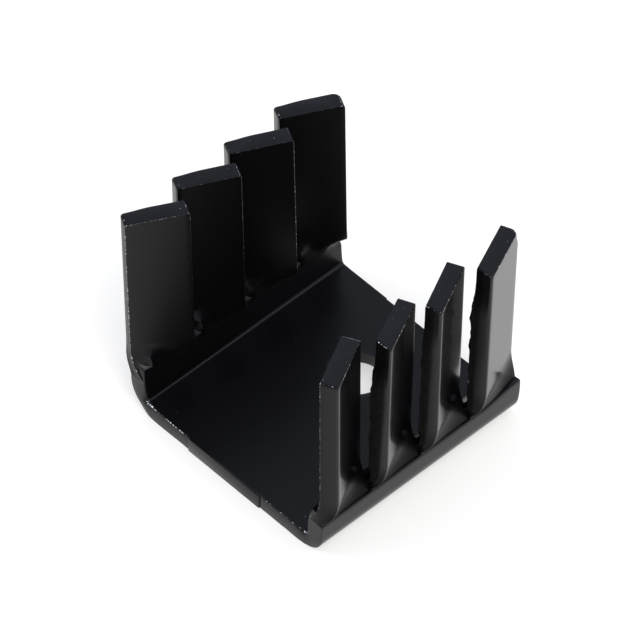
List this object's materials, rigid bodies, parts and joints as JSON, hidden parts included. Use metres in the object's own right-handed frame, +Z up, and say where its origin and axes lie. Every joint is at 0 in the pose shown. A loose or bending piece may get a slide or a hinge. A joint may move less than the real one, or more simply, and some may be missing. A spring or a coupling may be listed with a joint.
{
  "type": "heat sink",
  "caption": "Board level heat sink: a bent sheet channel with twisted upright fingers along both sides and a screw hole in its base.",
  "frame": {"origin": "middle of the underside of the base", "axes": "+Z up along the fingers, +X across the channel from flange to flange, -Y towards the front edge, which is the edge further from the screw hole"},
  "size_m": [0.0217, 0.0196, 0.0179],
  "materials": {
    "black_anodised_aluminium": "satin black anodised sheet"
  },
  "bodies": {
    "root": {"heatsink": "black_anodised_aluminium"}
  },
  "joints": []
}
